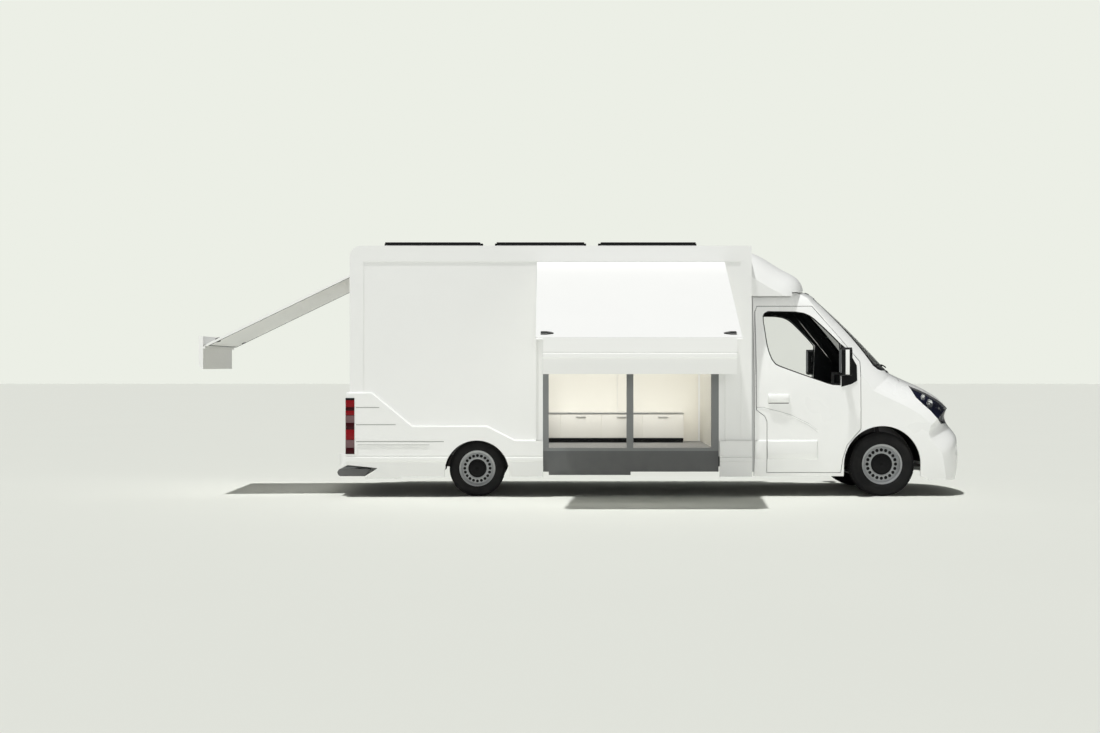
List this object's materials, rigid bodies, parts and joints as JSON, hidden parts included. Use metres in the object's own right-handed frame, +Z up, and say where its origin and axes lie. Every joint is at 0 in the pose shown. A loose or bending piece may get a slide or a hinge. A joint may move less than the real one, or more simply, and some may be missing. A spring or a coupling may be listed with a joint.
{
  "type": "food truck",
  "caption": "White food truck with a glazed serving side under a raised hatch, an open rear hatch and solar panels on the roof.",
  "frame": {"origin": "on the ground under the middle of the vehicle's bounding box, with both hatches standing open", "axes": "+X to the front of the vehicle, +Y to its left, +Z up"},
  "size_m": [8.2853, 4.1786, 2.729],
  "materials": {
    "body_white": "gloss",
    "frame_black": "satin",
    "engine_metal": "matte",
    "black_plastic": "matte",
    "trim_grey": "satin",
    "frame_grey": "satin",
    "floor_grey": "matte",
    "interior_cream": "satin",
    "counter_steel": "brushed",
    "glass_clear": "clear",
    "lamp_clear": "clear",
    "lamp_red": "gloss",
    "solar_black": "gloss",
    "seat_fabric": "woven",
    "wheel_silver": "satin",
    "tyre_black": "matte"
  },
  "bodies": {
    "body": {"chassis_frame": "frame_black", "front_subframe": "frame_black", "rear_axle": "frame_black", "engine_block": "engine_metal", "fuel_tank": "black_plastic", "box_left_wall": "body_white", "box_right_wall": "body_white", "box_roof": "body_white", "box_front_wall": "body_white", "box_floor": "floor_grey", "rear_frame": "body_white", "side_skirts": "body_white", "tail_lamps": "lamp_red", "rear_bumper": "body_white", "rear_step": "trim_grey", "solar_panels": "solar_black", "serving_frame": "frame_grey", "serving_surround": "frame_grey", "fixed_glass": "glass_clear", "serving_counter": "counter_steel", "serving_plinth": "trim_grey", "interior_bench": "interior_cream", "interior_partition": "interior_cream", "cab_shell": "body_white", "front_fenders": "body_white", "front_bumper": "body_white", "grille": "black_plastic", "headlamps": "lamp_clear", "dashboard": "black_plastic", "cab_seats": "seat_fabric", "roof_deflector": "body_white"},
    "knuckle_left": {"knuckle_left": "frame_black"},
    "knuckle_right": {"knuckle_right": "frame_black"},
    "wheel_front_left": {"tyre_front_left": "tyre_black", "rim_front_left": "wheel_silver"},
    "wheel_front_right": {"tyre_front_right": "tyre_black", "rim_front_right": "wheel_silver"},
    "wheel_rear_left": {"tyre_rear_left": "tyre_black", "rim_rear_left": "wheel_silver"},
    "wheel_rear_right": {"tyre_rear_right": "tyre_black", "rim_rear_right": "wheel_silver"},
    "door_left": {"door_left": "body_white", "door_glass_left": "glass_clear", "mirror_left": "black_plastic"},
    "door_right": {"door_right": "body_white", "door_glass_right": "glass_clear", "mirror_right": "black_plastic"},
    "bonnet": {"bonnet": "body_white"},
    "serving_hatch": {"serving_hatch": "body_white"},
    "serving_apron": {"serving_apron": "body_white"},
    "rear_hatch": {"rear_hatch": "body_white"},
    "rear_apron": {"rear_apron": "body_white"}
  },
  "joints": [
    {"name": "steer_left", "type": "hinge", "parent": "body", "child": "knuckle_left", "pos_m": [3.19753, 1.59331, 0.205], "axis": [0, -0.2375, 0.9714], "range_deg": [-35, 35]},
    {"name": "steer_right", "type": "hinge", "parent": "body", "child": "knuckle_right", "pos_m": [3.19753, -0.00269, 0.205], "axis": [0, 0.2375, 0.9714], "range_deg": [-35, 35]},
    {"name": "front_left_spin", "type": "hinge", "parent": "knuckle_left", "child": "wheel_front_left", "pos_m": [3.19753, 1.66731, 0.343], "axis": [0, 1, 0], "continuous": true},
    {"name": "front_right_spin", "type": "hinge", "parent": "knuckle_right", "child": "wheel_front_right", "pos_m": [3.19753, -0.07669, 0.343], "axis": [0, 1, 0], "continuous": true},
    {"name": "rear_left_spin", "type": "hinge", "parent": "body", "child": "wheel_rear_left", "pos_m": [-1.13447, 1.66331, 0.298], "axis": [0, 1, 0], "continuous": true},
    {"name": "rear_right_spin", "type": "hinge", "parent": "body", "child": "wheel_rear_right", "pos_m": [-1.13447, -0.07269, 0.298], "axis": [0, 1, 0], "continuous": true},
    {"name": "door_left_hinge", "type": "hinge", "parent": "body", "child": "door_left", "pos_m": [2.94553, 1.79331, 1], "axis": [0, 0, -1], "range_deg": [0, 70]},
    {"name": "door_right_hinge", "type": "hinge", "parent": "body", "child": "door_right", "pos_m": [2.94553, -0.20269, 1], "axis": [0, 0, 1], "range_deg": [0, 70]},
    {"name": "bonnet_hinge", "type": "hinge", "parent": "body", "child": "bonnet", "pos_m": [3.43153, 0.79531, 1.316], "axis": [0, -1, 0], "range_deg": [0, 55]},
    {"name": "serving_hatch_hinge", "type": "hinge", "parent": "body", "child": "serving_hatch", "pos_m": [0.50253, -0.27269, 2.5], "axis": [1, 0, 0], "range_deg": [0, 64.2]},
    {"name": "serving_apron_hinge", "type": "hinge", "parent": "serving_hatch", "child": "serving_apron", "pos_m": [0.50253, -2.02831, 1.6513], "axis": [1, 0, 0], "range_deg": [-64.2, 0]},
    {"name": "rear_hatch_hinge", "type": "hinge", "parent": "body", "child": "rear_hatch", "pos_m": [-2.47747, 0.79531, 2.383], "axis": [0, -1, 0], "range_deg": [0, 64.2]},
    {"name": "rear_apron_hinge", "type": "hinge", "parent": "rear_hatch", "child": "rear_apron", "pos_m": [-4.07553, 0.79531, 1.61047], "axis": [0, -1, 0], "range_deg": [-64.2, 0]}
  ],
  "couplings": [
    {"joint": "steer_right", "follows": "steer_left", "ratio": 1},
    {"joint": "serving_apron_hinge", "follows": "serving_hatch_hinge", "ratio": -1},
    {"joint": "rear_apron_hinge", "follows": "rear_hatch_hinge", "ratio": -1}
  ]
}
